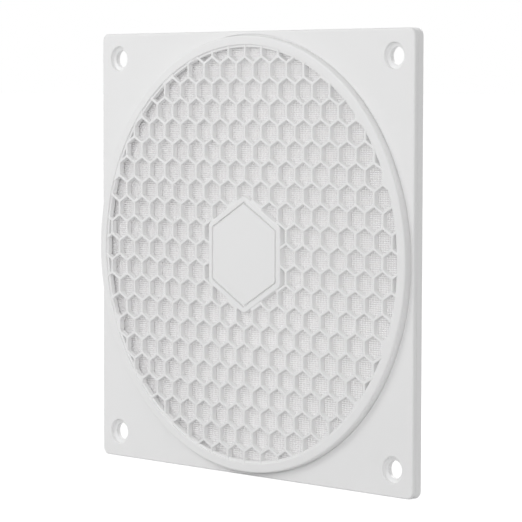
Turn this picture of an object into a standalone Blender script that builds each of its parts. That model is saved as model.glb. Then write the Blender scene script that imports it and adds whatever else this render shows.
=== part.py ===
"""Fan dust filter for a 120 mm fan: a square moulded grille with a raised ring of honeycomb
round a blank six-sided plate, a woven net behind it, and a rear frame that clamps the net.

Every piece is modelled lying down, front face up: X across the plate, Y up its face and Z
towards the viewer, with Z = 0 at the plate's front face. One empty then stands the filter
upright, facing -Y, with the origin at the middle of its overall box.
"""

import math

import bmesh
import bpy
from mathutils import Matrix, Vector

MM = 0.001

# Screw holes on the fan's own spacing, and the square plate round them
HOLE_SPACING = 105.0 * MM
HOLE_INSET = 7.0 * MM
HOLE_DIAMETER = 6.8 * MM
CORNER_RADIUS = 2.0 * MM

# The plate's two layers, with a parting gap between them
FRONT_LAYER = 1.2 * MM
REAR_LAYER = 2.0 * MM
FRONT_FILLET = 0.6 * MM
REAR_FILLET = 0.5 * MM
SEAT_GAP = 0.3 * MM

# Raised ring round the honeycomb, with a stepped bore
RING_MARGIN = 0.7 * MM
RING_WIDTH = 2.7 * MM
RING_HEIGHT = 2.0 * MM
RING_ROUND = 1.5 * MM
LEDGE_DEPTH = 1.0 * MM
LEDGE_WIDTH = 0.6 * MM

# Honeycomb
CELL_PITCH = 6.35 * MM
WEB_WIDTH = 0.85 * MM
WEB_DEPTH = 1.6 * MM
WEB_SETBACK = 0.35 * MM
LEAST_OPENING = 0.7 * MM

# Blank plate in the middle of the honeycomb
BADGE_FLATS = 27.7 * MM
BADGE_EDGE = 0.3 * MM
GROOVE_INSET = 1.65 * MM
GROOVE_WIDTH = 0.65 * MM
GROOVE_DEPTH = 0.5 * MM

# Net, the pocket that holds it and the spigot that presses on its rim
NET_THICKNESS = 0.25 * MM
NET_OPENINGS_ACROSS = 12
NET_BAR_WIDTH = 3.4 * MM
NET_OPENING_REACH = 1.8 * MM
POCKET_WALL = 1.4 * MM
SPIGOT_WIDTH = 1.6 * MM

# Pegs on the grille's back that line up the two mouldings
PEG_DIAMETER = 2.4 * MM
PEG_LENGTH = 1.1 * MM
PEG_FROM_HOLE = 9.0 * MM

# Facets
RING_SEGMENTS = 96
HOLE_SEGMENTS = 32
PEG_SEGMENTS = 16
ROUND_SEGMENTS = 4
CORNER_SEGMENTS = 4
FILLET_SEGMENTS = 3

# How far a cutter runs past the face that it opens
OVERRUN = 1.0 * MM

# Outlines that several pieces share
PLATE_SIDE = HOLE_SPACING + 2 * HOLE_INSET
RING_OUTER_RADIUS = PLATE_SIDE / 2 - RING_MARGIN
RING_INNER_RADIUS = RING_OUTER_RADIUS - RING_WIDTH
LEDGE_RADIUS = RING_INNER_RADIUS - LEDGE_WIDTH
POCKET_RADIUS = RING_OUTER_RADIUS - POCKET_WALL
SPIGOT_RADIUS = POCKET_RADIUS - SEAT_GAP
AIR_RADIUS = SPIGOT_RADIUS - SPIGOT_WIDTH
NET_OPENING_PITCH = 2 * AIR_RADIUS / NET_OPENINGS_ACROSS

# Heights that several pieces share
WEB_FRONT = RING_HEIGHT - WEB_SETBACK
WEB_BACK = WEB_FRONT - WEB_DEPTH
NET_FRONT = WEB_BACK - SEAT_GAP
NET_BACK = NET_FRONT - NET_THICKNESS
SPIGOT_TOP = NET_BACK - SEAT_GAP
FRONT_LAYER_BACK = -FRONT_LAYER
REAR_LAYER_FRONT = FRONT_LAYER_BACK - SEAT_GAP
REAR_FACE = REAR_LAYER_FRONT - REAR_LAYER


def clear_scene():
    for obj in list(bpy.data.objects):
        bpy.data.objects.remove(obj, do_unlink=True)


def new_collection(name):
    collection = bpy.data.collections.new(name)
    bpy.context.scene.collection.children.link(collection)
    return collection


def plastic(name, colour, roughness):
    material = bpy.data.materials.new(name)
    material.use_nodes = True
    shader = material.node_tree.nodes["Principled BSDF"]
    shader.inputs["Base Color"].default_value = (*colour, 1.0)
    shader.inputs["Roughness"].default_value = roughness
    shader.inputs["Metallic"].default_value = 0.0
    return material


def add_object(name, mesh, collection, stand):
    obj = bpy.data.objects.new(name, mesh)
    obj.parent = stand
    collection.objects.link(obj)
    return obj


def object_from_bmesh(name, bm, collection, stand):
    mesh = bpy.data.meshes.new(name)
    bm.to_mesh(mesh)
    bm.free()
    return add_object(name, mesh, collection, stand)


def boolean(obj, operation, other):
    modifier = obj.modifiers.new(f"{operation.lower()} {other.name}", "BOOLEAN")
    modifier.operation = operation
    modifier.solver = "EXACT"
    modifier.object = other


def as_cutter(obj):
    obj.hide_render = True
    obj.display_type = "WIRE"
    return obj


def finish_piece(obj, material):
    obj.data.materials.append(material)
    obj.data.shade_smooth()
    obj.data.set_sharp_from_angle(angle=math.radians(35))
    return obj


def edges_where(bm, test):
    return [edge for edge in bm.edges if all(test(vertex.co) for vertex in edge.verts)]


def square_plate(name, back, front, filleted_face, fillet, collection, stand):
    """A square slab with rounded corners and a fillet round one of its faces."""
    bm = bmesh.new()
    size = Matrix.Diagonal((PLATE_SIDE, PLATE_SIDE, front - back, 1.0))
    place = Matrix.Translation((0.0, 0.0, (front + back) / 2))
    bmesh.ops.create_cube(bm, size=1.0, matrix=place @ size)
    corners = [e for e in bm.edges if abs(e.verts[0].co.z - e.verts[1].co.z) > (front - back) / 2]
    bmesh.ops.bevel(
        bm, geom=corners, offset=CORNER_RADIUS, segments=CORNER_SEGMENTS, profile=0.5,
        affect="EDGES", material=-1,
    )
    rim = edges_where(bm, lambda co: abs(co.z - filleted_face) < (front - back) / 10)
    bmesh.ops.bevel(
        bm, geom=rim, offset=fillet, segments=FILLET_SEGMENTS, profile=0.5,
        affect="EDGES", material=-1,
    )
    return object_from_bmesh(name, bm, collection, stand)


def turned(name, profile, segments, collection, stand):
    """A solid of revolution about Z. The profile runs from the axis at the top, down its
    outer side, to the axis at the bottom."""
    mesh = bpy.data.meshes.new(name)
    points = [(radius, 0.0, height) for radius, height in profile]
    edges = [(index, index + 1) for index in range(len(points) - 1)]
    mesh.from_pydata(points, edges, [])
    obj = add_object(name, mesh, collection, stand)
    screw = obj.modifiers.new("turn", "SCREW")
    screw.axis = "Z"
    screw.steps = segments
    screw.render_steps = segments
    screw.use_merge_vertices = True
    screw.merge_threshold = 0.00001
    return obj


def cylinder(bm, radius, low, high, segments, centre=(0.0, 0.0)):
    place = Matrix.Translation((centre[0], centre[1], (low + high) / 2))
    bmesh.ops.create_cone(
        bm, cap_ends=True, segments=segments, radius1=radius, radius2=radius,
        depth=high - low, matrix=place,
    )


def hexagon_prism(bm, flats, low, high, centre=(0.0, 0.0)):
    """A six-sided prism with a corner at the top and at the bottom of its outline."""
    across_corners = flats / math.cos(math.pi / 6)
    place = Matrix.Translation((centre[0], centre[1], (low + high) / 2))
    return bmesh.ops.create_cone(
        bm, cap_ends=True, segments=6, radius1=across_corners / 2,
        radius2=across_corners / 2, depth=high - low, matrix=place,
    )["verts"]


def hole_centres():
    half = HOLE_SPACING / 2
    return [(x, y) for x in (-half, half) for y in (-half, half)]


def peg_centres():
    """Beside each screw hole, on the side towards the plate's upright centre line."""
    return [(x - math.copysign(PEG_FROM_HOLE, x), y) for x, y in hole_centres()]


def screw_holes(collection, stand):
    bm = bmesh.new()
    for centre in hole_centres():
        cylinder(bm, HOLE_DIAMETER / 2, REAR_FACE - OVERRUN, OVERRUN, HOLE_SEGMENTS, centre)
    return as_cutter(object_from_bmesh("screw_holes", bm, collection, stand))


def pegs(name, radius, length, collection, stand):
    """Pegs on the back of the front layer, or the sockets that take them."""
    bm = bmesh.new()
    for centre in peg_centres():
        low = FRONT_LAYER_BACK - length
        cylinder(bm, radius, low, FRONT_LAYER_BACK + FRONT_LAYER / 2, PEG_SEGMENTS, centre)
    return as_cutter(object_from_bmesh(name, bm, collection, stand))


def flat_distance(point):
    """Distance from the middle to the hexagon, with upright flats, that holds this point."""
    normals = [Vector((math.cos(a), math.sin(a))) for a in (0, math.pi / 3, 2 * math.pi / 3)]
    return max(abs(point.dot(normal)) for normal in normals)


def cell_is_open(centre):
    """A cell is cut where the ring and the badge leave it at least LEAST_OPENING of width."""
    half_cell = (CELL_PITCH - WEB_WIDTH) / 2
    inside_ring = LEDGE_RADIUS - (centre.length - half_cell)
    outside_badge = flat_distance(centre) + half_cell - BADGE_FLATS / 2
    return inside_ring > LEAST_OPENING and outside_badge > LEAST_OPENING


def cell_centres():
    """Rows of cells, with a web on the upright centre line of the middle row."""
    row_height = CELL_PITCH * math.cos(math.pi / 6)
    rows = math.ceil(RING_INNER_RADIUS / row_height) + 1
    columns = math.ceil(RING_INNER_RADIUS / CELL_PITCH) + 1
    for row in range(-rows, rows + 1):
        shift = 0.5 if row % 2 == 0 else 0.0
        for column in range(-columns, columns + 1):
            centre = Vector(((column + shift) * CELL_PITCH, row * row_height))
            if cell_is_open(centre):
                yield centre


def honeycomb_cells(collection, stand):
    bm = bmesh.new()
    for centre in cell_centres():
        low = FRONT_LAYER_BACK - OVERRUN
        hexagon_prism(bm, CELL_PITCH - WEB_WIDTH, low, RING_HEIGHT + OVERRUN, centre)
    return as_cutter(object_from_bmesh("honeycomb_cells", bm, collection, stand))


def badge(collection, stand):
    """The blank plate, with a small bevel round its face."""
    bm = bmesh.new()
    hexagon_prism(bm, BADGE_FLATS, FRONT_LAYER_BACK, RING_HEIGHT)
    face = edges_where(bm, lambda co: abs(co.z - RING_HEIGHT) < BADGE_EDGE / 10)
    bmesh.ops.bevel(
        bm, geom=face, offset=BADGE_EDGE, segments=1, profile=0.5, affect="EDGES", material=-1,
    )
    return as_cutter(object_from_bmesh("badge", bm, collection, stand))


def badge_groove(collection, stand):
    """A six-sided groove cut into the badge's face, parallel to its edge."""
    low, high = RING_HEIGHT - GROOVE_DEPTH, RING_HEIGHT + OVERRUN
    middle = BADGE_FLATS - 2 * GROOVE_INSET
    bm = bmesh.new()
    hexagon_prism(bm, middle - GROOVE_WIDTH, low - OVERRUN, high + OVERRUN)
    island = as_cutter(object_from_bmesh("groove_island", bm, collection, stand))
    bm = bmesh.new()
    hexagon_prism(bm, middle + GROOVE_WIDTH, low, high)
    groove = as_cutter(object_from_bmesh("badge_groove", bm, collection, stand))
    boolean(groove, "DIFFERENCE", island)
    return groove


def honeycomb(collection, stand):
    """A web of upright six-sided cells with the badge in its middle. It runs into the ring
    all round, and further back than its finished face, which the net's pocket then cuts."""
    bm = bmesh.new()
    rim = (RING_INNER_RADIUS + RING_OUTER_RADIUS) / 2
    cylinder(bm, rim, FRONT_LAYER_BACK, WEB_FRONT, RING_SEGMENTS)
    web = as_cutter(object_from_bmesh("honeycomb", bm, collection, stand))
    boolean(web, "DIFFERENCE", honeycomb_cells(collection, stand))
    boolean(web, "UNION", badge(collection, stand))
    boolean(web, "DIFFERENCE", badge_groove(collection, stand))
    return web


def ring_disc(collection, stand):
    """The raised disc with its rounded outer edge, before the bore is cut."""
    centre = Vector((RING_OUTER_RADIUS - RING_ROUND, RING_HEIGHT - RING_ROUND))
    profile = [(0.0, RING_HEIGHT)]
    for step in range(ROUND_SEGMENTS + 1):
        angle = math.pi / 2 * (1 - step / ROUND_SEGMENTS)
        point = centre + RING_ROUND * Vector((math.cos(angle), math.sin(angle)))
        profile.append(tuple(point))
    foot = -FRONT_LAYER / 2
    profile += [(RING_OUTER_RADIUS, foot), (0.0, foot)]
    return as_cutter(turned("ring_disc", profile, RING_SEGMENTS, collection, stand))


def ring_bore(collection, stand):
    """The round opening, stepped in to a ledge below the ring's top."""
    ledge, top, foot = RING_HEIGHT - LEDGE_DEPTH, RING_HEIGHT + OVERRUN, FRONT_LAYER_BACK - OVERRUN
    profile = [
        (0.0, top), (RING_INNER_RADIUS, top), (RING_INNER_RADIUS, ledge),
        (LEDGE_RADIUS, ledge), (LEDGE_RADIUS, foot), (0.0, foot),
    ]
    return as_cutter(turned("ring_bore", profile, RING_SEGMENTS, collection, stand))


def net_pocket(collection, stand):
    """The recess in the grille's back that holds the net and takes the rear frame's spigot."""
    bm = bmesh.new()
    cylinder(bm, POCKET_RADIUS, FRONT_LAYER_BACK - OVERRUN, WEB_BACK, RING_SEGMENTS)
    return as_cutter(object_from_bmesh("net_pocket", bm, collection, stand))


def front_grille(material, parts, cutters, stand):
    plate = square_plate(
        "front_grille", FRONT_LAYER_BACK, 0.0, 0.0, FRONT_FILLET, parts, stand
    )
    boolean(plate, "UNION", ring_disc(cutters, stand))
    boolean(plate, "DIFFERENCE", ring_bore(cutters, stand))
    boolean(plate, "UNION", honeycomb(cutters, stand))
    boolean(plate, "DIFFERENCE", net_pocket(cutters, stand))
    boolean(plate, "UNION", pegs("pegs", PEG_DIAMETER / 2, PEG_LENGTH, cutters, stand))
    boolean(plate, "DIFFERENCE", screw_holes(cutters, stand))
    return finish_piece(plate, material)


def net_opening_centres(half):
    """A square grid over the air opening. An opening at its edge is cut where at least
    NET_OPENING_REACH of its nearest corner lies inside."""
    offsets = [(i + 0.5) * NET_OPENING_PITCH for i in range(NET_OPENINGS_ACROSS // 2)]
    for x in offsets:
        for y in offsets:
            if math.hypot(x - half, y - half) < AIR_RADIUS - NET_OPENING_REACH:
                yield from ((x, y), (-x, y), (x, -y), (-x, -y))


def net_openings(collection, stand):
    """Plain square openings, trimmed by the air opening, that stand for the fine mesh."""
    low, high = NET_BACK - OVERRUN, NET_FRONT + OVERRUN
    side = NET_OPENING_PITCH - NET_BAR_WIDTH
    size = Matrix.Diagonal((side, side, high - low, 1.0))
    bm = bmesh.new()
    for x, y in net_opening_centres(side / 2):
        place = Matrix.Translation((x, y, (low + high) / 2))
        bmesh.ops.create_cube(bm, size=1.0, matrix=place @ size)
    squares = as_cutter(object_from_bmesh("net_openings", bm, collection, stand))
    bm = bmesh.new()
    cylinder(bm, AIR_RADIUS, low - OVERRUN, high + OVERRUN, RING_SEGMENTS)
    inside = as_cutter(object_from_bmesh("net_clear_area", bm, collection, stand))
    boolean(squares, "INTERSECT", inside)
    return squares


def filter_net(material, parts, cutters, stand):
    """The net, as wide as the spigot that presses on its rim."""
    bm = bmesh.new()
    cylinder(bm, SPIGOT_RADIUS, NET_BACK, NET_FRONT, RING_SEGMENTS)
    net = object_from_bmesh("filter_net", bm, parts, stand)
    boolean(net, "DIFFERENCE", net_openings(cutters, stand))
    return finish_piece(net, material)


def rear_frame(material, parts, cutters, stand):
    """The back plate, with a low spigot round its air opening that clamps the net's rim."""
    plate = square_plate(
        "rear_frame", REAR_FACE, REAR_LAYER_FRONT, REAR_FACE, REAR_FILLET, parts, stand
    )
    bm = bmesh.new()
    cylinder(bm, SPIGOT_RADIUS, REAR_LAYER_FRONT - REAR_LAYER / 2, SPIGOT_TOP, RING_SEGMENTS)
    spigot = as_cutter(object_from_bmesh("spigot", bm, cutters, stand))
    bm = bmesh.new()
    cylinder(bm, AIR_RADIUS, REAR_FACE - OVERRUN, SPIGOT_TOP + OVERRUN, RING_SEGMENTS)
    air_opening = as_cutter(object_from_bmesh("air_opening", bm, cutters, stand))
    boolean(plate, "UNION", spigot)
    boolean(plate, "DIFFERENCE", air_opening)
    sockets = pegs(
        "sockets", PEG_DIAMETER / 2 + SEAT_GAP, PEG_LENGTH + SEAT_GAP, cutters, stand
    )
    boolean(plate, "DIFFERENCE", sockets)
    boolean(plate, "DIFFERENCE", screw_holes(cutters, stand))
    return finish_piece(plate, material)


def main():
    clear_scene()
    parts = new_collection("fan_dust_filter")
    cutters = new_collection("cutters")
    stand = bpy.data.objects.new("stand", None)
    stand.rotation_euler = (math.pi / 2, 0.0, 0.0)
    stand.location = (0.0, (RING_HEIGHT + REAR_FACE) / 2, 0.0)
    parts.objects.link(stand)

    moulding = plastic("white_moulding", (0.82, 0.82, 0.82), 0.38)
    frame_moulding = plastic("white_frame_moulding", (0.80, 0.80, 0.80), 0.42)
    net = plastic("white_net", (0.72, 0.72, 0.72), 0.65)
    front_grille(moulding, parts, cutters, stand)
    filter_net(net, parts, cutters, stand)
    rear_frame(frame_moulding, parts, cutters, stand)


main()
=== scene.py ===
"""Dresses the fan dust filter and sets the studio that it is seen in.

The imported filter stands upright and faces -Y. Each moulding is modelled lying down, front
face up, with X across the plate, Y up its face and Z towards the viewer, and Z = 0 at the
plate's front face. The finished mesh is then turned upright into the frame's own place.
"""

import logging
import math
from collections.abc import Callable, Iterable, Iterator, Sequence
from dataclasses import dataclass, field
from enum import Enum

import bmesh
import bpy
from mathutils import Matrix, Vector

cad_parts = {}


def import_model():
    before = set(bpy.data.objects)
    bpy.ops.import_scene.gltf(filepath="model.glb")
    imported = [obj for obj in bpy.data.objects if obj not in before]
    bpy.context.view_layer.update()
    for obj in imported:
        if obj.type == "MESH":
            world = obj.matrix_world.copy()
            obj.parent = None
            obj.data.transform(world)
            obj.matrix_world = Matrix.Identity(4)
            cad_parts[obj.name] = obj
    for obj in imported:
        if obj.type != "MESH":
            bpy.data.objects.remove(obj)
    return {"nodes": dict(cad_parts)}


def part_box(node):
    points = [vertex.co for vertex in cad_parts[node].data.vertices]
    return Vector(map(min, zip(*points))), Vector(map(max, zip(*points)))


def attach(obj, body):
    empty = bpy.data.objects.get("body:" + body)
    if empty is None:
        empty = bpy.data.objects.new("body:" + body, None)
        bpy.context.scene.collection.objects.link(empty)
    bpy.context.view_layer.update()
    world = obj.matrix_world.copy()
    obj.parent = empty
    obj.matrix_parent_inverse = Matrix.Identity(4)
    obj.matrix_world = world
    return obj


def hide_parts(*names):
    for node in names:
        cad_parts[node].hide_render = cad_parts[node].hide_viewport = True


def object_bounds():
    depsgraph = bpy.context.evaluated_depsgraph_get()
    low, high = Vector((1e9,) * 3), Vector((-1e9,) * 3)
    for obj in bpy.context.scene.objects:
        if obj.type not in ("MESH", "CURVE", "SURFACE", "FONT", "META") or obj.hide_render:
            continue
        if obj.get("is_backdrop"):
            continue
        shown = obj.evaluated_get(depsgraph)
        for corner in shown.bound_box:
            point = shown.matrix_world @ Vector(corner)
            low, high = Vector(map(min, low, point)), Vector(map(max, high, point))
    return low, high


MM = 0.001
CUT_OVER = 1.0 * MM  # how far a cutter runs past the face that it cuts
IMAGE_SIZE_PX = 522
PLASTIC_WHITE = (0.95, 0.95, 0.95)
NYLON_WHITE = (0.96, 0.95, 0.955)

log = logging.getLogger("fan_dust_filter")

Profile = Sequence[tuple[float, float]]
Place = tuple[float, float]


class Node(Enum):
    """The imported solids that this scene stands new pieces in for."""

    GRILLE = "front_grille"
    NET = "filter_net"
    FRAME = "rear_frame"


class Slot(Enum):
    """The record's material slots."""

    GRILLE = "grille_plastic"
    NET = "net_fabric"
    FRAME = "frame_plastic"


class Join(Enum):
    """How a second shape changes the first."""

    ADD = "UNION"
    CUT = "DIFFERENCE"


@dataclass(frozen=True)
class MouldedPlastic:
    """White injection-moulded plastic with a fine spark-eroded grain.

    Attributes:
        name: The material's name.
        colour: Linear red, green and blue of the plastic.
        roughness: Mean roughness of the moulded skin.
        grain_size: Width of one grain of the skin, in metres.
        grain_height: Height of the grain, in metres.
        cloud_size: Width of the faint cloudiness in the colour, in metres.
        cloud_share: How much darker the cloudiness goes, from 0 to 1.
    """

    name: str
    colour: tuple[float, float, float]
    roughness: float = 0.42
    grain_size: float = 0.28 * MM
    grain_height: float = 0.006 * MM
    cloud_size: float = 22.0 * MM
    cloud_share: float = 0.015

    def build(self) -> bpy.types.Material:
        """Makes the node material.

        Returns:
            The material, which reads Object coordinates.
        """
        material = bpy.data.materials.new(self.name)
        material.use_nodes = True
        nodes, links = material.node_tree.nodes, material.node_tree.links
        shader = nodes["Principled BSDF"]
        coordinates = nodes.new("ShaderNodeTexCoord").outputs["Object"]

        cloud = nodes.new("ShaderNodeTexNoise")
        cloud.inputs["Scale"].default_value = 1 / self.cloud_size
        cloud.inputs["Detail"].default_value = 3.0
        links.new(coordinates, cloud.inputs["Vector"])
        tint = nodes.new("ShaderNodeMix")
        tint.data_type = "RGBA"
        darker = [channel * (1 - self.cloud_share) for channel in self.colour]
        tint.inputs["A"].default_value = (*self.colour, 1.0)
        tint.inputs["B"].default_value = (*darker, 1.0)
        links.new(cloud.outputs["Fac"], tint.inputs["Factor"])
        links.new(tint.outputs["Result"], shader.inputs["Base Color"])

        grain = nodes.new("ShaderNodeTexNoise")
        grain.inputs["Scale"].default_value = 1 / self.grain_size
        grain.inputs["Detail"].default_value = 2.0
        links.new(coordinates, grain.inputs["Vector"])
        skin = nodes.new("ShaderNodeMapRange")
        skin.inputs["To Min"].default_value = self.roughness - 0.05
        skin.inputs["To Max"].default_value = self.roughness + 0.05
        links.new(grain.outputs["Fac"], skin.inputs["Value"])
        links.new(skin.outputs["Result"], shader.inputs["Roughness"])
        bump = nodes.new("ShaderNodeBump")
        bump.inputs["Distance"].default_value = self.grain_height
        bump.inputs["Strength"].default_value = 1.0
        links.new(grain.outputs["Fac"], bump.inputs["Height"])
        links.new(bump.outputs["Normal"], shader.inputs["Normal"])
        return material


@dataclass(frozen=True)
class NylonThread:
    """White nylon monofilament, slightly glossy, with a faint change of tone between threads.

    Attributes:
        name: The material's name.
        colour: Linear red, green and blue of the nylon.
        roughness: Roughness of the drawn thread.
        streak_width: Width of one change of tone across the net, in metres.
        streak_share: How much darker a streak goes, from 0 to 1.
    """

    name: str
    colour: tuple[float, float, float]
    roughness: float = 0.45
    streak_width: float = 1.4 * MM
    streak_share: float = 0.04

    def build(self) -> bpy.types.Material:
        """Makes the node material.

        Returns:
            The material, which reads Object coordinates.
        """
        material = bpy.data.materials.new(self.name)
        material.use_nodes = True
        nodes, links = material.node_tree.nodes, material.node_tree.links
        shader = nodes["Principled BSDF"]
        shader.inputs["Roughness"].default_value = self.roughness
        coordinates = nodes.new("ShaderNodeTexCoord").outputs["Object"]
        streaks = nodes.new("ShaderNodeTexNoise")
        streaks.inputs["Scale"].default_value = 1 / self.streak_width
        streaks.inputs["Detail"].default_value = 1.0
        links.new(coordinates, streaks.inputs["Vector"])
        tint = nodes.new("ShaderNodeMix")
        tint.data_type = "RGBA"
        darker = [channel * (1 - self.streak_share) for channel in self.colour]
        tint.inputs["A"].default_value = (*self.colour, 1.0)
        tint.inputs["B"].default_value = (*darker, 1.0)
        links.new(streaks.outputs["Fac"], tint.inputs["Factor"])
        links.new(tint.outputs["Result"], shader.inputs["Base Color"])
        return material


@dataclass(frozen=True)
class PaleSweep:
    """The floor's paint: white where the camera looks at it, with the object's soft shadow.

    Attributes:
        name: The material's name.
        reflectance: Share of light that the floor throws back onto the object.
        glow: Light added where the camera sees the floor, so that it comes out white.
        shadow_share: Share of the seen floor that darkens in shadow.
    """

    name: str = "pale_sweep"
    reflectance: float = 0.7
    glow: float = 0.92
    shadow_share: float = 0.3

    def build(self) -> bpy.types.Material:
        """Makes the node material.

        Returns:
            The floor's material.
        """
        material = bpy.data.materials.new(self.name)
        material.use_nodes = True
        nodes, links = material.node_tree.nodes, material.node_tree.links
        nodes.remove(nodes["Principled BSDF"])
        plain = nodes.new("ShaderNodeBsdfDiffuse")
        plain.inputs["Color"].default_value = (*[self.reflectance] * 3, 1.0)
        seen = nodes.new("ShaderNodeBsdfDiffuse")
        seen.inputs["Color"].default_value = (*[self.shadow_share] * 3, 1.0)
        glow = nodes.new("ShaderNodeEmission")
        glow.inputs["Strength"].default_value = self.glow
        both = nodes.new("ShaderNodeAddShader")
        links.new(seen.outputs[0], both.inputs[0])
        links.new(glow.outputs[0], both.inputs[1])
        mix = nodes.new("ShaderNodeMixShader")
        links.new(seen_by_eye(material.node_tree), mix.inputs[0])
        links.new(plain.outputs[0], mix.inputs[1])
        links.new(both.outputs[0], mix.inputs[2])
        links.new(mix.outputs[0], nodes["Material Output"].inputs["Surface"])
        return material


def seen_by_eye(tree: bpy.types.NodeTree) -> bpy.types.NodeSocket:
    """Adds nodes that tell the rays which show the background from those which light things.

    Args:
        tree: The node tree to add them to.

    Returns:
        A socket that is 1 for camera, glossy and transmission rays.
    """
    path = tree.nodes.new("ShaderNodeLightPath")
    result = path.outputs["Is Camera Ray"]
    for name in ("Is Glossy Ray", "Is Transmission Ray"):
        larger = tree.nodes.new("ShaderNodeMath")
        larger.operation = "MAXIMUM"
        tree.links.new(result, larger.inputs[0])
        tree.links.new(path.outputs[name], larger.inputs[1])
        result = larger.outputs[0]
    return result


@dataclass
class Workbench:
    """Makes lying shapes, joins and cuts them, and stands the result up in the frame.

    Attributes:
        front_y: Where the plate's front face lies along the frame's Y, in metres.
    """

    front_y: float

    def shape(self, name: str, bm: bmesh.types.BMesh) -> bpy.types.Object:
        """Turns a bmesh into an object that lies on the bench.

        Args:
            name: The object's name.
            bm: The shape, which is freed.

        Returns:
            The new object.
        """
        mesh = bpy.data.meshes.new(name)
        bm.to_mesh(mesh)
        bm.free()
        obj = bpy.data.objects.new(name, mesh)
        bpy.context.scene.collection.objects.link(obj)
        return obj

    def join(self, base: bpy.types.Object, how: Join, other: bpy.types.Object) -> None:
        """Adds the second shape to the first, or cuts it away.

        Args:
            base: The shape that changes.
            how: Whether the other is added or cut.
            other: The shape that is used up.
        """
        modifier = base.modifiers.new(f"{how.name} {other.name}", "BOOLEAN")
        modifier.operation = how.value
        modifier.solver = "EXACT"
        modifier.object = other
        graph = bpy.context.evaluated_depsgraph_get()
        mesh = bpy.data.meshes.new_from_object(base.evaluated_get(graph))
        base.modifiers.clear()
        base.data = mesh
        bpy.data.objects.remove(other, do_unlink=True)

    def stand_up(self, obj: bpy.types.Object, sharp_angle: float = 38.0) -> bpy.types.Object:
        """Turns a finished shape upright, with its place in its mesh, and smooths its rounds.

        Args:
            obj: The finished shape.
            sharp_angle: Angle in degrees past which an edge stays sharp.

        Returns:
            The same object.
        """
        turn = Matrix.Rotation(math.pi / 2, 4, "X")
        obj.data.transform(Matrix.Translation((0.0, self.front_y, 0.0)) @ turn)
        obj.data.shade_smooth()
        obj.data.set_sharp_from_angle(angle=math.radians(sharp_angle))
        normals = obj.modifiers.new("flat faces stay flat", "WEIGHTED_NORMAL")
        normals.keep_sharp = True
        normals.weight = 90
        return obj


def cylinder(
    bm: bmesh.types.BMesh,
    radius: float,
    low: float,
    high: float,
    segments: int,
    centre: Place = (0.0, 0.0),
) -> list[bmesh.types.BMVert]:
    """Adds an upright cylinder, or a prism when it has few segments.

    Args:
        bm: Where it is added.
        radius: Its radius, to the corners.
        low: Height of its lower end.
        high: Height of its upper end.
        segments: Number of sides.
        centre: Its axis, across and up the plate.

    Returns:
        Its vertices.
    """
    place = Matrix.Translation((centre[0], centre[1], (low + high) / 2))
    made = bmesh.ops.create_cone(
        bm,
        cap_ends=True,
        segments=segments,
        radius1=radius,
        radius2=radius,
        depth=high - low,
        matrix=place,
    )
    return made["verts"]


def upright_edges(verts: Iterable[bmesh.types.BMVert]) -> list[bmesh.types.BMEdge]:
    """The edges of these vertices that run along Z."""
    edges = {edge for vert in verts for edge in vert.link_edges}
    return [e for e in edges if (e.verts[0].co - e.verts[1].co).to_2d().length < 1e-9]


def level_edges(bm: bmesh.types.BMesh, height: float) -> list[bmesh.types.BMEdge]:
    """The edges whose two ends both lie at this height."""
    return [e for e in bm.edges if all(abs(v.co.z - height) < 1e-7 for v in e.verts)]


def round_over(
    bm: bmesh.types.BMesh, edges: list[bmesh.types.BMEdge], radius: float, segments: int
) -> None:
    """Rounds these edges.

    Args:
        bm: The shape.
        edges: The edges to round.
        radius: How far the round reaches on each face.
        segments: Number of facets in the round.
    """
    bmesh.ops.bevel(
        bm,
        geom=edges,
        offset=radius,
        segments=segments,
        profile=0.5,
        affect="EDGES",
        material=-1,
    )


def revolved(profile: Profile, segments: int, closed: bool = False) -> bmesh.types.BMesh:
    """Spins a profile of radius and height once round Z.

    Args:
        profile: The points, as (radius, height).
        segments: Number of steps round the axis.
        closed: Whether the last point joins the first, for a ring.

    Returns:
        The closed shape, with its faces pointing outwards.
    """
    bm = bmesh.new()
    verts = [bm.verts.new((radius, 0.0, height)) for radius, height in profile]
    pairs = list(zip(verts, verts[1:]))
    if closed:
        pairs.append((verts[-1], verts[0]))
    edges = [bm.edges.new(pair) for pair in pairs]
    bmesh.ops.spin(
        bm,
        geom=verts + edges,
        cent=(0.0, 0.0, 0.0),
        axis=(0.0, 0.0, 1.0),
        angle=2 * math.pi,
        steps=segments,
        use_merge=True,
        use_normal_flip=False,
        use_duplicate=False,
    )
    bmesh.ops.remove_doubles(bm, verts=bm.verts[:], dist=1e-7)
    bmesh.ops.recalc_face_normals(bm, faces=bm.faces[:])
    return bm


def quarter_round(centre: Place, radius: float, start: float, steps: int) -> list[Place]:
    """Points on a quarter circle, turning clockwise.

    Args:
        centre: The circle's centre, as (radius, height) of the profile.
        radius: The circle's radius.
        start: Angle of the first point, in degrees.
        steps: Number of facets.

    Returns:
        The points, with both ends.
    """
    points = []
    for step in range(steps + 1):
        angle = math.radians(start - 90.0 * step / steps)
        points.append(
            (centre[0] + radius * math.cos(angle), centre[1] + radius * math.sin(angle))
        )
    return points


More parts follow.
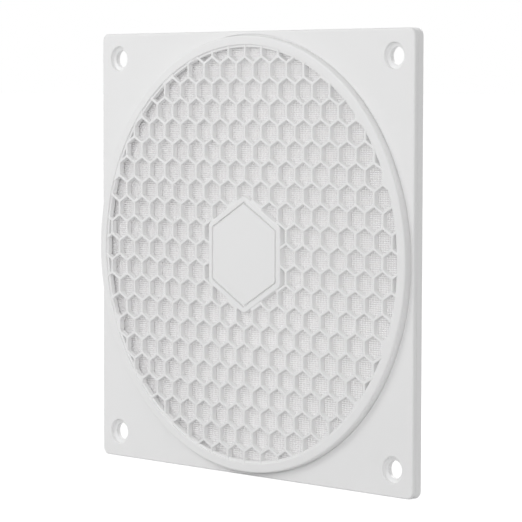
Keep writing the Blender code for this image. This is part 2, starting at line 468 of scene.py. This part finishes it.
@dataclass(frozen=True)
class PlateSizes:
    """Sizes that the two square layers share, read from the frame where it has them.

    Attributes:
        side: Side of the square plate.
        ring_height: How far the ring stands in front of the plate.
        front_layer: Thickness of the grille's flange.
        seat_gap: Gap between pieces that meet.
        rear_face: Height of the back face, behind the plate's front face.
        net_front: Height of the net's front.
        spigot_radius: Outer radius of the spigot, and of the net.
        ring_radius: Outer radius of the raised ring.
        contact_gap: Gap that is seen between pieces that touch.
        weave_reach: From the net's middle to the face of its threads.
        hole_inset: From the plate's side to a screw hole's middle.
        hole_diameter: Diameter of a screw hole's bore.
        sink_diameter: Diameter of the recess for the screw's head.
        sink_depth: Depth of that recess.
        sink_draft: How much the recess narrows on its way down.
        sink_slope: How far its floor falls towards the bore.
        relief_diameter: Diameter of the recess round the hole in the back face.
        relief_depth: Depth of that recess.
        corner_radius: Radius of the plate's corners.
        peg_diameter: Diameter of a locating peg.
        peg_length: How far a peg stands out of the flange's back.
        peg_from_hole: From a screw hole's middle to the peg beside it.
        hole_segments: Number of sides of a screw hole.
    """

    side: float
    ring_height: float
    front_layer: float
    seat_gap: float
    rear_face: float
    net_front: float
    spigot_radius: float
    ring_radius: float
    contact_gap: float = 0.06 * MM
    weave_reach: float = 0.22 * MM
    hole_inset: float = 7.0 * MM
    hole_diameter: float = 4.7 * MM
    sink_diameter: float = 6.9 * MM
    sink_depth: float = 0.8 * MM
    sink_draft: float = 0.15 * MM
    sink_slope: float = 0.35 * MM
    relief_diameter: float = 7.4 * MM
    relief_depth: float = 1.0 * MM
    corner_radius: float = 2.0 * MM
    peg_diameter: float = 2.4 * MM
    peg_length: float = 1.1 * MM
    peg_from_hole: float = 9.0 * MM
    hole_segments: int = 64

    @classmethod
    def from_frame(cls) -> "PlateSizes":
        """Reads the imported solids' boxes.

        Returns:
            The sizes, with heights measured from the plate's front face.
        """
        ring_height, front_layer, seat_gap, ring_margin = 2.0 * MM, 1.2 * MM, 0.3 * MM, 1.15 * MM
        grille_low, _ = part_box(Node.GRILLE.value)
        net_low, net_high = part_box(Node.NET.value)
        frame_low, frame_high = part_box(Node.FRAME.value)
        front_y = grille_low[1] + ring_height
        side = frame_high[0] - frame_low[0]
        return cls(
            side=side,
            ring_height=ring_height,
            front_layer=front_layer,
            seat_gap=seat_gap,
            rear_face=front_y - frame_high[1],
            net_front=front_y - net_low[1],
            spigot_radius=(net_high[0] - net_low[0]) / 2,
            ring_radius=side / 2 - ring_margin,
        )

    @property
    def front_y(self) -> float:
        """Where the plate's front face lies along the frame's Y."""
        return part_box(Node.GRILLE.value)[0][1] + self.ring_height

    @property
    def weave_middle(self) -> float:
        """Height of the woven net's middle, pressed forward onto the honeycomb's back."""
        return self.net_front + self.seat_gap

    @property
    def flange_back(self) -> float:
        """Height of the grille flange's back face."""
        return -self.front_layer

    @property
    def rear_layer_front(self) -> float:
        """Height of the rear layer's front face."""
        return self.flange_back - self.contact_gap

    def hole_centres(self) -> list[Place]:
        """The middles of the four screw holes."""
        reach = self.side / 2 - self.hole_inset
        return [(x, y) for x in (-reach, reach) for y in (-reach, reach)]

    def peg_centres(self) -> list[Place]:
        """The middles of the four pegs, each beside a screw hole."""
        return [(x - math.copysign(self.peg_from_hole, x), y) for x, y in self.hole_centres()]

    def square_layer(
        self, low: float, high: float, rounds: Sequence[tuple[float, float]]
    ) -> bmesh.types.BMesh:
        """A square layer with rounded corners and edges.

        Args:
            low: Height of its back face.
            high: Height of its front face.
            rounds: Each rounded face's height and the radius of its edge.

        Returns:
            The layer.
        """
        bm = bmesh.new()
        size = Matrix.Diagonal((self.side, self.side, high - low, 1.0))
        place = Matrix.Translation((0.0, 0.0, (low + high) / 2))
        bmesh.ops.create_cube(bm, size=1.0, matrix=place @ size)
        round_over(bm, upright_edges(bm.verts), self.corner_radius, segments=10)
        for height, radius in rounds:
            round_over(bm, level_edges(bm, height), radius, segments=5)
        return bm

    def hole_cutter(self, rim_round: float) -> bmesh.types.BMesh:
        """Four cutters for the screw holes: a stepped mouth in front, a recess at the back.

        Args:
            rim_round: Radius of the rounds on the holes' edges.

        Returns:
            The cutters, which run through both layers.
        """
        bore, mouth, relief = (
            size / 2 for size in (self.hole_diameter, self.sink_diameter, self.relief_diameter)
        )
        floor = self.rear_face + self.relief_depth
        profile = [(0.0, CUT_OVER), (mouth + rim_round, CUT_OVER)]
        profile += hole_rim(mouth, rim_round, 0.0, 1.0)
        profile += [(mouth - self.sink_draft, -self.sink_depth)]
        profile += [(bore, -self.sink_depth - self.sink_slope)]
        profile += reversed(hole_rim(bore, rim_round, floor, -1.0))
        profile += [(relief, floor)]
        profile += reversed(hole_rim(relief, rim_round, self.rear_face, -1.0))
        end = self.rear_face - CUT_OVER
        profile += [(relief + rim_round, end), (0.0, end)]
        return copies(revolved(profile, self.hole_segments), self.hole_centres())


def hole_rim(
    radius: float, round_radius: float, face: float, outward: float, steps: int = 3
) -> list[Place]:
    """Profile of a hole's rounded rim, from the face into the hole.

    Args:
        radius: The hole's radius.
        round_radius: Radius of the round.
        face: Height of the face that the hole comes out of.
        outward: 1 where the face looks up and -1 where it looks down.
        steps: Number of facets.

    Returns:
        The points, as (radius, height).
    """
    points = []
    for step in range(steps + 1):
        angle = math.pi / 2 * (1 - step / steps)
        r = radius + round_radius * (1 - math.cos(angle))
        h = face - outward * round_radius * (1 - math.sin(angle))
        points.append((r, h))
    return points


def copies(one: bmesh.types.BMesh, centres: Iterable[Place]) -> bmesh.types.BMesh:
    """Sets a copy of one shape at each centre.

    Args:
        one: The shape, round Z, which is freed.
        centres: Where the copies go, across and up the plate.

    Returns:
        All the copies.
    """
    mesh = bpy.data.meshes.new("one_copy")
    one.to_mesh(mesh)
    one.free()
    bm = bmesh.new()
    for centre in centres:
        count = len(bm.verts)
        bm.from_mesh(mesh)
        bm.verts.ensure_lookup_table()
        bmesh.ops.translate(bm, vec=(*centre, 0.0), verts=bm.verts[count:])
    bpy.data.meshes.remove(mesh)
    return bm


@dataclass
class FrontGrille:
    """The grille moulding: flange, raised ring, honeycomb, blank centre plate and pegs.

    Attributes:
        plate: The sizes shared with the other pieces.
        bench: Where the shapes are joined.
        finish: The moulding's plastic.
        flange_round: Radius of the round on the flange's front edge.
        ring_width: Width of the ring's flat front.
        ring_round: Radius of the ring's outer edge.
        ring_inner_round: Radius of the edge at the mouth of its bore.
        ledge_depth: How far the ledge in the bore lies behind the ring's front.
        ledge_width: Width of that ledge.
        ledge_round: Radius of the ledge's edge.
        pocket_clearance: Gap between the net's rim and the wall of its pocket.
        foot_width: Width of the fine groove round the ring's foot.
        foot_depth: Depth of that groove.
        cell_pitch: Distance between the middles of two cells.
        web_width: Width of the web between two cells.
        web_setback: How far the web lies behind the ring's front.
        web_round: Radius of the web's front edges.
        cell_corner: Radius of a cell's corners.
        least_opening: Narrowest part of a cell that is still cut.
        badge_flats: Width of the centre plate across its flats.
        badge_round: Radius of its front edge.
        badge_corner: Radius of its corners.
        groove_inset: From its edge to the middle of the groove round it.
        groove_width: Width of that groove at its mouth.
        groove_depth: Depth of the groove.
        groove_taper: Width of the groove's floor as a share of its mouth.
        peg_tip_round: Radius of the round on a peg's tip.
        hole_rim: Radius of the rounds on the screw holes' edges.
        ring_segments: Number of steps round the ring.
    """

    plate: PlateSizes
    bench: Workbench
    finish: MouldedPlastic
    flange_round: float = 0.5 * MM
    ring_width: float = 2.5 * MM
    ring_round: float = 0.5 * MM
    ring_inner_round: float = 0.2 * MM
    ledge_depth: float = 0.4 * MM
    ledge_width: float = 0.65 * MM
    ledge_round: float = 0.15 * MM
    pocket_clearance: float = 0.15 * MM
    foot_width: float = 0.4 * MM
    foot_depth: float = 0.4 * MM
    cell_pitch: float = 6.3 * MM
    web_width: float = 0.68 * MM
    web_setback: float = 0.2 * MM
    web_round: float = 0.14 * MM
    cell_corner: float = 0.25 * MM
    least_opening: float = 0.5 * MM
    badge_flats: float = 27.5 * MM
    badge_round: float = 0.35 * MM
    badge_corner: float = 0.9 * MM
    groove_inset: float = 1.7 * MM
    groove_width: float = 0.6 * MM
    groove_depth: float = 0.7 * MM
    groove_taper: float = 0.7
    peg_tip_round: float = 0.3 * MM
    hole_rim: float = 0.2 * MM
    ring_segments: int = 256

    @property
    def ring_inner(self) -> float:
        """Radius of the ring's bore at its front."""
        return self.plate.ring_radius - self.ring_width

    @property
    def ledge_radius(self) -> float:
        """Radius of the bore behind the ledge."""
        return self.ring_inner - self.ledge_width

    @property
    def web_front(self) -> float:
        """Height of the honeycomb's front."""
        return self.plate.ring_height - self.web_setback

    @property
    def web_back(self) -> float:
        """Height of the honeycomb's back, which touches the net's threads."""
        return self.plate.weave_middle + self.plate.weave_reach + self.plate.contact_gap

    def ring_disc(self) -> bmesh.types.BMesh:
        """The raised disc with its rounded outer edge, before it is bored."""
        top, foot = self.plate.ring_height, self.plate.flange_back / 2
        radius = self.plate.ring_radius
        centre = (radius - self.ring_round, top - self.ring_round)
        profile = [(0.0, top), *quarter_round(centre, self.ring_round, 90.0, steps=9)]
        profile += [(radius, foot), (0.0, foot)]
        return revolved(profile, self.ring_segments)

    def ring_bore(self) -> bmesh.types.BMesh:
        """The stepped bore, with rounded edges at its mouth and on its ledge."""
        top, ledge = self.plate.ring_height, self.plate.ring_height - self.ledge_depth
        mouth = self.ring_inner + self.ring_inner_round
        profile = [(0.0, top + CUT_OVER), (mouth, top + CUT_OVER)]
        profile += hole_rim(self.ring_inner, self.ring_inner_round, top, 1.0)
        profile += [(self.ring_inner, ledge)]
        profile += hole_rim(self.ledge_radius, self.ledge_round, ledge, 1.0)
        profile += [(self.ledge_radius, self.plate.flange_back - CUT_OVER)]
        profile += [(0.0, self.plate.flange_back - CUT_OVER)]
        return revolved(profile, self.ring_segments)

    def foot_groove(self) -> bmesh.types.BMesh:
        """A narrow groove in the plate round the ring's foot, which draws a fine dark line."""
        inner, outer = self.plate.ring_radius, self.plate.ring_radius + self.foot_width
        over = 0.1 * MM
        floor = -self.foot_depth
        profile = [(inner, over), (outer, over), (outer, floor), (inner, floor)]
        return revolved(profile, self.ring_segments, closed=True)

    def one_cell(self) -> bmesh.types.BMesh:
        """The cutter for one cell, with rounded corners and a flare at the web's front.

        Returns:
            The cutter, standing on the plate's middle.
        """
        bm = bmesh.new()
        flats = self.cell_pitch - self.web_width
        corner_radius = flats / 2 / math.cos(math.pi / 6)
        low, straight = self.plate.flange_back - CUT_OVER, self.web_front - self.web_round
        verts = cylinder(bm, corner_radius, low, straight, segments=6)
        round_over(bm, upright_edges(verts), self.cell_corner, segments=2)
        steps = 3
        reach = flats / 2
        for step in range(1, steps + 2):
            angle = math.pi / 2 * min(step, steps) / steps
            wider = flats / 2 + self.web_round * (1 - math.cos(angle))
            height = straight + self.web_round * math.sin(angle)
            if step > steps:
                height = self.plate.ring_height + CUT_OVER
            top = max(bm.faces, key=lambda face: face.calc_center_median().z)
            made = bmesh.ops.extrude_face_region(bm, geom=[top])
            moved = [item for item in made["geom"] if isinstance(item, bmesh.types.BMVert)]
            bmesh.ops.delete(bm, geom=[top], context="FACES_ONLY")
            for vert in moved:
                vert.co.z = height
            grow = wider / reach
            bmesh.ops.scale(bm, vec=(grow, grow, 1.0), verts=moved)
            reach = wider
        bmesh.ops.recalc_face_normals(bm, faces=bm.faces[:])
        return bm

    def cell_is_open(self, centre: Vector) -> bool:
        """Whether the ring and the centre plate leave this cell wide enough to be cut.

        Args:
            centre: The cell's middle.

        Returns:
            True if the cell is cut.
        """
        half_cell = (self.cell_pitch - self.web_width) / 2
        normals = [Vector((math.cos(a), math.sin(a))) for a in (0, math.pi / 3, 2 * math.pi / 3)]
        from_middle = max(abs(centre.dot(normal)) for normal in normals)
        inside_ring = self.ledge_radius - (centre.length - half_cell)
        outside_badge = from_middle + half_cell - self.badge_flats / 2
        return min(inside_ring, outside_badge) > self.least_opening

    def cell_centres(self) -> Iterator[Place]:
        """The cells' middles, row by row, with a web on the middle row's centre line.

        Yields:
            Each middle, across and up the plate.
        """
        row_height = self.cell_pitch * math.cos(math.pi / 6)
        rows = math.ceil(self.ring_inner / row_height) + 1
        columns = math.ceil(self.ring_inner / self.cell_pitch) + 1
        for row in range(-rows, rows + 1):
            shift = 0.5 if row % 2 == 0 else 0.0
            for column in range(-columns, columns + 1):
                centre = Vector(((column + shift) * self.cell_pitch, row * row_height))
                if self.cell_is_open(centre):
                    yield centre.x, centre.y

    def badge(self) -> bmesh.types.BMesh:
        """The blank six-sided plate, with soft corners and a rounded face edge."""
        bm = bmesh.new()
        corners = self.badge_flats / 2 / math.cos(math.pi / 6)
        top = self.plate.ring_height
        verts = cylinder(bm, corners, self.plate.flange_back, top, segments=6)
        round_over(bm, upright_edges(verts), self.badge_corner, segments=4)
        round_over(bm, level_edges(bm, top), self.badge_round, segments=3)
        return bm

    def badge_groove(self) -> bmesh.types.BMesh:
        """A six-sided groove with sloping walls, parallel to the centre plate's edge."""
        flats_to_corners = 1 / math.cos(math.pi / 6)
        middle = (self.badge_flats / 2 - self.groove_inset) * flats_to_corners
        half = self.groove_width / 2 * flats_to_corners
        top, over = self.plate.ring_height, 0.2 * MM
        bottom, floor = half * self.groove_taper, top - self.groove_depth
        profile = [(middle - half, top + over), (middle + half, top + over)]
        profile += [(middle + bottom, floor), (middle - bottom, floor)]
        bm = revolved(profile, segments=6, closed=True)
        turn = Matrix.Rotation(math.pi / 6, 3, "Z")
        bmesh.ops.rotate(bm, cent=(0.0, 0.0, 0.0), matrix=turn, verts=bm.verts[:])
        return bm

    def honeycomb(self) -> bpy.types.Object:
        """The web with its cells cut and the centre plate in its middle."""
        bm = bmesh.new()
        rim = (self.ring_inner + self.plate.ring_radius) / 2
        cylinder(bm, rim, self.plate.flange_back, self.web_front, self.ring_segments)
        web = self.bench.shape("web", bm)
        cells = copies(self.one_cell(), self.cell_centres())
        self.bench.join(web, Join.CUT, self.bench.shape("cells", cells))
        self.bench.join(web, Join.ADD, self.bench.shape("badge", self.badge()))
        self.bench.join(web, Join.CUT, self.bench.shape("groove", self.badge_groove()))
        return web

    def net_pocket(self) -> bmesh.types.BMesh:
        """The recess in the back that holds the net."""
        bm = bmesh.new()
        low = self.plate.flange_back - CUT_OVER
        pocket_radius = self.plate.spigot_radius + self.pocket_clearance
        cylinder(bm, pocket_radius, low, self.web_back, self.ring_segments)
        return bm

    def pegs(self) -> bmesh.types.BMesh:
        """Four pegs with rounded tips on the flange's back."""
        plate, radius = self.plate, self.plate.peg_diameter / 2
        foot, tip = plate.flange_back / 2, plate.flange_back - plate.peg_length
        centre = (radius - self.peg_tip_round, tip + self.peg_tip_round)
        profile = [(0.0, foot), (radius, foot)]
        profile += [*quarter_round(centre, self.peg_tip_round, 0.0, steps=3), (0.0, tip)]
        return copies(revolved(profile, segments=32), plate.peg_centres())

    def build(self) -> bpy.types.Object:
        """Makes the whole moulding.

        Returns:
            The piece, standing in its place.
        """
        plate, bench = self.plate, self.bench
        flange = plate.square_layer(plate.flange_back, 0.0, [(0.0, self.flange_round)])
        piece = bench.shape("grille_moulding", flange)
        bench.join(piece, Join.CUT, bench.shape("foot", self.foot_groove()))
        bench.join(piece, Join.ADD, bench.shape("ring", self.ring_disc()))
        bench.join(piece, Join.CUT, bench.shape("bore", self.ring_bore()))
        bench.join(piece, Join.ADD, self.honeycomb())
        bench.join(piece, Join.CUT, bench.shape("pocket", self.net_pocket()))
        bench.join(piece, Join.ADD, bench.shape("pegs", self.pegs()))
        bench.join(piece, Join.CUT, bench.shape("holes", plate.hole_cutter(self.hole_rim)))
        piece.data.materials.clear()
        piece.data.materials.append(self.finish.build())
        bench.stand_up(piece)
        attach(piece, "root")
        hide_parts(Node.GRILLE.value)
        return piece


@dataclass
class RearFrame:
    """The back plate, with the low spigot that clamps the net's rim.

    Attributes:
        plate: The sizes shared with the other pieces.
        bench: Where the shapes are joined.
        finish: The moulding's plastic.
        edge_round: Radius of the round on the back face's outer edge.
        spigot_width: Width of the spigot's front.
        mouth_round: Radius of the air opening's edge in front.
        back_round: Radius of its edge at the back.
        hole_rim: Radius of the rounds on the screw holes' edges.
        ring_segments: Number of steps round the opening.
    """

    plate: PlateSizes
    bench: Workbench
    finish: MouldedPlastic
    edge_round: float = 0.5 * MM
    spigot_width: float = 1.6 * MM
    mouth_round: float = 0.3 * MM
    back_round: float = 1.5 * MM
    hole_rim: float = 0.2 * MM
    ring_segments: int = 256

    @property
    def spigot_top(self) -> float:
        """Height of the spigot, which presses the net's rim forward."""
        return self.plate.weave_middle - self.plate.weave_reach - self.plate.contact_gap

    def spigot(self) -> bmesh.types.BMesh:
        """The disc that becomes the spigot once the air opening is cut."""
        bm = bmesh.new()
        low = (self.plate.rear_layer_front + self.plate.rear_face) / 2
        radius = self.plate.spigot_radius
        cylinder(bm, radius, low, self.spigot_top, self.ring_segments)
        return bm

    def air_opening(self) -> bmesh.types.BMesh:
        """The round way for the air, with rounded edges at both mouths."""
        radius = self.plate.spigot_radius - self.spigot_width
        front, back = self.spigot_top, self.plate.rear_face
        profile = [(0.0, front + CUT_OVER), (radius + self.mouth_round, front + CUT_OVER)]
        profile += hole_rim(radius, self.mouth_round, front, 1.0)
        profile += reversed(hole_rim(radius, self.back_round, back, -1.0, steps=6))
        profile += [(radius + self.back_round, back - CUT_OVER), (0.0, back - CUT_OVER)]
        return revolved(profile, self.ring_segments)

    def sockets(self) -> bmesh.types.BMesh:
        """Four blind sockets for the grille's pegs."""
        plate, bm = self.plate, bmesh.new()
        radius = plate.peg_diameter / 2 + plate.seat_gap
        low = plate.flange_back - plate.peg_length - plate.seat_gap
        for centre in plate.peg_centres():
            cylinder(bm, radius, low, plate.flange_back, 32, centre)
        return bm

    def build(self) -> bpy.types.Object:
        """Makes the whole moulding.

        Returns:
            The piece, standing in its place.
        """
        plate, bench = self.plate, self.bench
        rounds = [(plate.rear_face, self.edge_round)]
        layer = plate.square_layer(plate.rear_face, plate.rear_layer_front, rounds)
        piece = bench.shape("frame_moulding", layer)
        bench.join(piece, Join.ADD, bench.shape("spigot", self.spigot()))
        bench.join(piece, Join.CUT, bench.shape("air", self.air_opening()))
        bench.join(piece, Join.CUT, bench.shape("sockets", self.sockets()))
        bench.join(piece, Join.CUT, bench.shape("holes", plate.hole_cutter(self.hole_rim)))
        piece.data.materials.clear()
        piece.data.materials.append(self.finish.build())
        bench.stand_up(piece)
        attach(piece, "root")
        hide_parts(Node.FRAME.value)
        return piece


@dataclass
class FilterNet:
    """The woven net: straight threads across, and threads up that wave over and under them.

    Attributes:
        plate: The sizes shared with the other pieces.
        bench: Where the net is stood up.
        finish: The threads' nylon.
        pitch: Distance between the middles of two threads.
        thread: Width of a thread.
        wave: How far an upright thread swings to each side of the net's middle.
    """

    plate: PlateSizes
    bench: Workbench
    finish: NylonThread
    pitch: float = 0.56 * MM
    thread: float = 0.30 * MM
    wave: float = 0.07 * MM

    def crossings(self, offset: float) -> int:
        """How many pitches a thread at this offset runs to each side of the middle."""
        half_chord = math.sqrt(max(self.plate.spigot_radius**2 - offset**2, 0.0))
        return int(half_chord / self.pitch)

    def straight_thread(self, bm: bmesh.types.BMesh, offset: float) -> None:
        """Adds one thread that runs straight across.

        Args:
            bm: The net.
            offset: How far up the plate it runs.
        """
        reach = self.crossings(offset) * self.pitch
        if reach:
            verts = cylinder(bm, self.thread / 2, -reach, reach, segments=6)
            turn = Matrix.Rotation(math.pi / 2, 3, "Y")
            bmesh.ops.rotate(bm, cent=(0.0, 0.0, 0.0), matrix=turn, verts=verts)
            bmesh.ops.translate(bm, vec=(0.0, offset, 0.0), verts=verts)

    def waving_thread(self, bm: bmesh.types.BMesh, index: int) -> None:
        """Adds one thread that runs up the plate, over and under the straight ones.

        Args:
            bm: The net.
            index: Its number from the middle, which sets where it starts its wave.
        """
        offset = index * self.pitch
        count = self.crossings(offset)
        if not count:
            return
        reach = count * self.pitch
        one = bmesh.new()
        verts = cylinder(one, self.thread / 2, -reach, reach, segments=3)
        bmesh.ops.subdivide_edges(one, edges=upright_edges(verts), cuts=2 * count - 1)
        for vert in one.verts:
            crossing = round(vert.co.z / self.pitch)
            side = 1.0 if (crossing + index) % 2 == 0 else -1.0
            vert.co.y += side * self.wave
        turn = Matrix.Rotation(-math.pi / 2, 3, "X")
        bmesh.ops.rotate(one, cent=(0.0, 0.0, 0.0), matrix=turn, verts=one.verts[:])
        bmesh.ops.translate(one, vec=(offset, 0.0, 0.0), verts=one.verts[:])
        mesh = bpy.data.meshes.new("one_thread")
        one.to_mesh(mesh)
        one.free()
        bm.from_mesh(mesh)
        bpy.data.meshes.remove(mesh)

    def build(self) -> bpy.types.Object:
        """Weaves the net.

        Returns:
            The piece, standing in its place.
        """
        bm = bmesh.new()
        count = int(self.plate.spigot_radius / self.pitch)
        for index in range(-count, count + 1):
            self.straight_thread(bm, index * self.pitch)
            self.waving_thread(bm, index)
        bmesh.ops.translate(bm, vec=(0.0, 0.0, self.plate.weave_middle), verts=bm.verts[:])
        piece = self.bench.shape("woven_net", bm)
        piece.data.materials.append(self.finish.build())
        turn = Matrix.Rotation(math.pi / 2, 4, "X")
        piece.data.transform(Matrix.Translation((0.0, self.plate.front_y, 0.0)) @ turn)
        piece.data.shade_smooth()
        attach(piece, "root")
        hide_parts(Node.NET.value)
        return piece


@dataclass
class Studio:
    """The floor, the lamps, the sky light and the camera.

    Each lamp has its place in metres, its power in watts and its side in metres.

    Attributes:
        floor_z: Height of the floor.
        sweep: The floor's paint.
        floor_width: Side of the floor.
        sky_level: Strength of the even light from all round.
        key_from: Place of the lamp in front, on the left.
        key_power: Its power.
        key_width: Its side.
        fill_from: Place of the lamp in front, on the right.
        fill_power: Its power.
        fill_width: Its side.
        back_from: Place of the lamp behind the object.
        back_power: Its power.
        back_width: Its side.
        camera_place: Where the camera stands.
        camera_turn_deg: How far it is turned round the upright.
        camera_dip_deg: How far it looks down.
        camera_roll_deg: How far it is tilted sideways.
        camera_focal_px: Its focal length, in pixels of the photograph.
    """

    floor_z: float
    sweep: PaleSweep = field(default_factory=PaleSweep)
    floor_width: float = 400.0
    sky_level: float = 0.41
    key_from: tuple[float, float, float] = (-0.30, -0.45, 0.30)
    key_power: float = 1.08
    key_width: float = 0.3
    fill_from: tuple[float, float, float] = (0.66, -0.72, 0.22)
    fill_power: float = 2.6
    fill_width: float = 0.8
    back_from: tuple[float, float, float] = (-0.10, 0.60, 0.30)
    back_power: float = 1.6
    back_width: float = 0.3
    camera_place: tuple[float, float, float] = (0.49998, -0.48402, 0.04291)
    camera_turn_deg: float = 45.713
    camera_dip_deg: float = 3.675
    camera_roll_deg: float = -0.122
    camera_focal_px: float = 2608.0

    def floor(self) -> bpy.types.Object:
        """Lays the floor.

        Returns:
            The floor, marked as stage.
        """
        bm = bmesh.new()
        bmesh.ops.create_grid(bm, x_segments=1, y_segments=1, size=self.floor_width / 2)
        bmesh.ops.translate(bm, vec=(0.0, 0.0, self.floor_z), verts=bm.verts[:])
        mesh = bpy.data.meshes.new("floor")
        bm.to_mesh(mesh)
        bm.free()
        floor = bpy.data.objects.new("floor", mesh)
        bpy.context.scene.collection.objects.link(floor)
        floor.data.materials.append(self.sweep.build())
        floor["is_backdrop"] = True
        return floor

    def lamp(
        self, name: str, place: tuple[float, float, float], power: float, width: float
    ) -> bpy.types.Object:
        """Hangs a square soft lamp that points at the object's middle.

        Args:
            name: The lamp's name.
            place: Where it hangs.
            power: Its power in watts.
            width: Its side in metres.

        Returns:
            The lamp.
        """
        light = bpy.data.lights.new(name, "AREA")
        light.energy = power
        light.size = width
        lamp = bpy.data.objects.new(name, light)
        lamp.location = place
        lamp.rotation_euler = (-Vector(place)).to_track_quat("-Z", "Y").to_euler()
        bpy.context.scene.collection.objects.link(lamp)
        return lamp

    def sky(self) -> bpy.types.World:
        """Sets the even light from all round, and white behind what the camera sees.

        Returns:
            The world.
        """
        world = bpy.data.worlds.new("studio")
        world.use_nodes = True
        nodes, links = world.node_tree.nodes, world.node_tree.links
        background = nodes["Background"]
        level = nodes.new("ShaderNodeMapRange")
        level.inputs["To Min"].default_value = self.sky_level
        level.inputs["To Max"].default_value = 1.0
        links.new(seen_by_eye(world.node_tree), level.inputs["Value"])
        background.inputs["Color"].default_value = (1.0, 1.0, 1.0, 1.0)
        links.new(level.outputs["Result"], background.inputs["Strength"])
        bpy.context.scene.world = world
        return world

    def camera(self) -> bpy.types.Object:
        """Sets the camera where the photograph was taken from.

        Returns:
            The camera.
        """
        data = bpy.data.cameras.new("camera")
        data.lens = self.camera_focal_px / IMAGE_SIZE_PX * data.sensor_width
        data.clip_start = 0.01
        camera = bpy.data.objects.new("camera", data)
        camera.location = self.camera_place
        turned = (90.0 - self.camera_dip_deg, self.camera_roll_deg, self.camera_turn_deg)
        camera.rotation_euler = [math.radians(angle) for angle in turned]
        bpy.context.scene.collection.objects.link(camera)
        bpy.context.scene.camera = camera
        return camera

    def build(self) -> None:
        """Sets up the whole studio."""
        self.floor()
        self.lamp("key", self.key_from, self.key_power, self.key_width)
        self.lamp("fill", self.fill_from, self.fill_power, self.fill_width)
        self.lamp("back", self.back_from, self.back_power, self.back_width)
        self.sky()
        self.camera()
        bpy.context.scene.view_settings.view_transform = "Standard"


def main() -> None:
    """Builds every piece and the studio, in order, and reports each."""
    logging.basicConfig(level=logging.INFO, format="%(name)s: %(message)s")
    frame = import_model()
    packed_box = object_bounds()
    log.info("the packed model has %d nodes", len(frame["nodes"]))
    plate = PlateSizes.from_frame()
    bench = Workbench(front_y=plate.front_y)
    makers: list[Callable[[], bpy.types.Object]] = [
        FrontGrille(plate, bench, MouldedPlastic("grille_white", PLASTIC_WHITE)).build,
        RearFrame(plate, bench, MouldedPlastic("frame_white", PLASTIC_WHITE)).build,
        FilterNet(plate, bench, NylonThread("net_white", NYLON_WHITE)).build,
    ]
    for make in makers:
        piece = make()
        log.info("%s has %d faces", piece.name, len(piece.data.polygons))
    Studio(floor_z=packed_box[0][2]).build()


if __name__ == "__main__":
    main()
